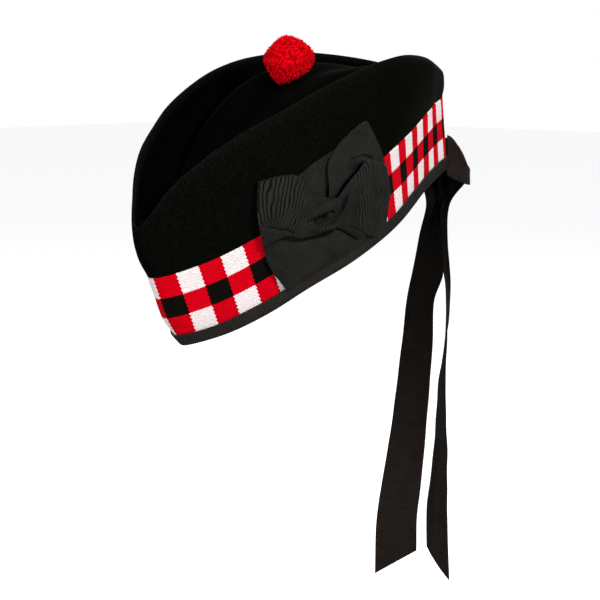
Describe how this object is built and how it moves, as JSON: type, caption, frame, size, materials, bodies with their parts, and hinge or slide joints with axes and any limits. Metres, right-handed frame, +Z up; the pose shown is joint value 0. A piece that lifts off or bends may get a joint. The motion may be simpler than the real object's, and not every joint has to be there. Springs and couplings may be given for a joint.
{
  "type": "glengarry cap",
  "caption": "Boat-shaped felted wool cap with a diced band, ribbon-bound edge, side rosette, round woollen toorie on top, and a ribbon bow with hanging tails at the back.",
  "frame": {"origin": "in the head opening, on the plane down the middle of the cap, where the cap sits on a head", "axes": "-Y the way the wearer faces, +X the wearer's left with the rosette, +Z up; the cap is pitched 24.8 degrees nose down, as it is worn"},
  "size_m": [0.1643, 0.2966, 0.3542],
  "materials": {
    "felt": "black felted wool with a fine nap, matte",
    "dice_knit": "knitted wool diced in red, white and black, matte",
    "grosgrain": "black ribbed grosgrain ribbon, low sheen",
    "tail_ribbon": "black ribbed ribbon with a brownish cast, low sheen",
    "red_wool": "red wool yarn, cut and brushed, matte"
  },
  "bodies": {
    "root": {"crown": "felt", "diced_band": "dice_knit", "rim_binding": "grosgrain", "rosette_back_loop": "grosgrain", "rosette_top_loop": "grosgrain", "rosette_top_fold": "grosgrain", "rosette_front_loop": "grosgrain", "rosette_lower_fan": "grosgrain", "rosette_knot": "grosgrain", "toorie": "red_wool", "bow_loop_left": "grosgrain", "bow_loop_right": "grosgrain", "bow_knot": "grosgrain", "tail_left": "tail_ribbon", "tail_right": "tail_ribbon"}
  },
  "joints": []
}
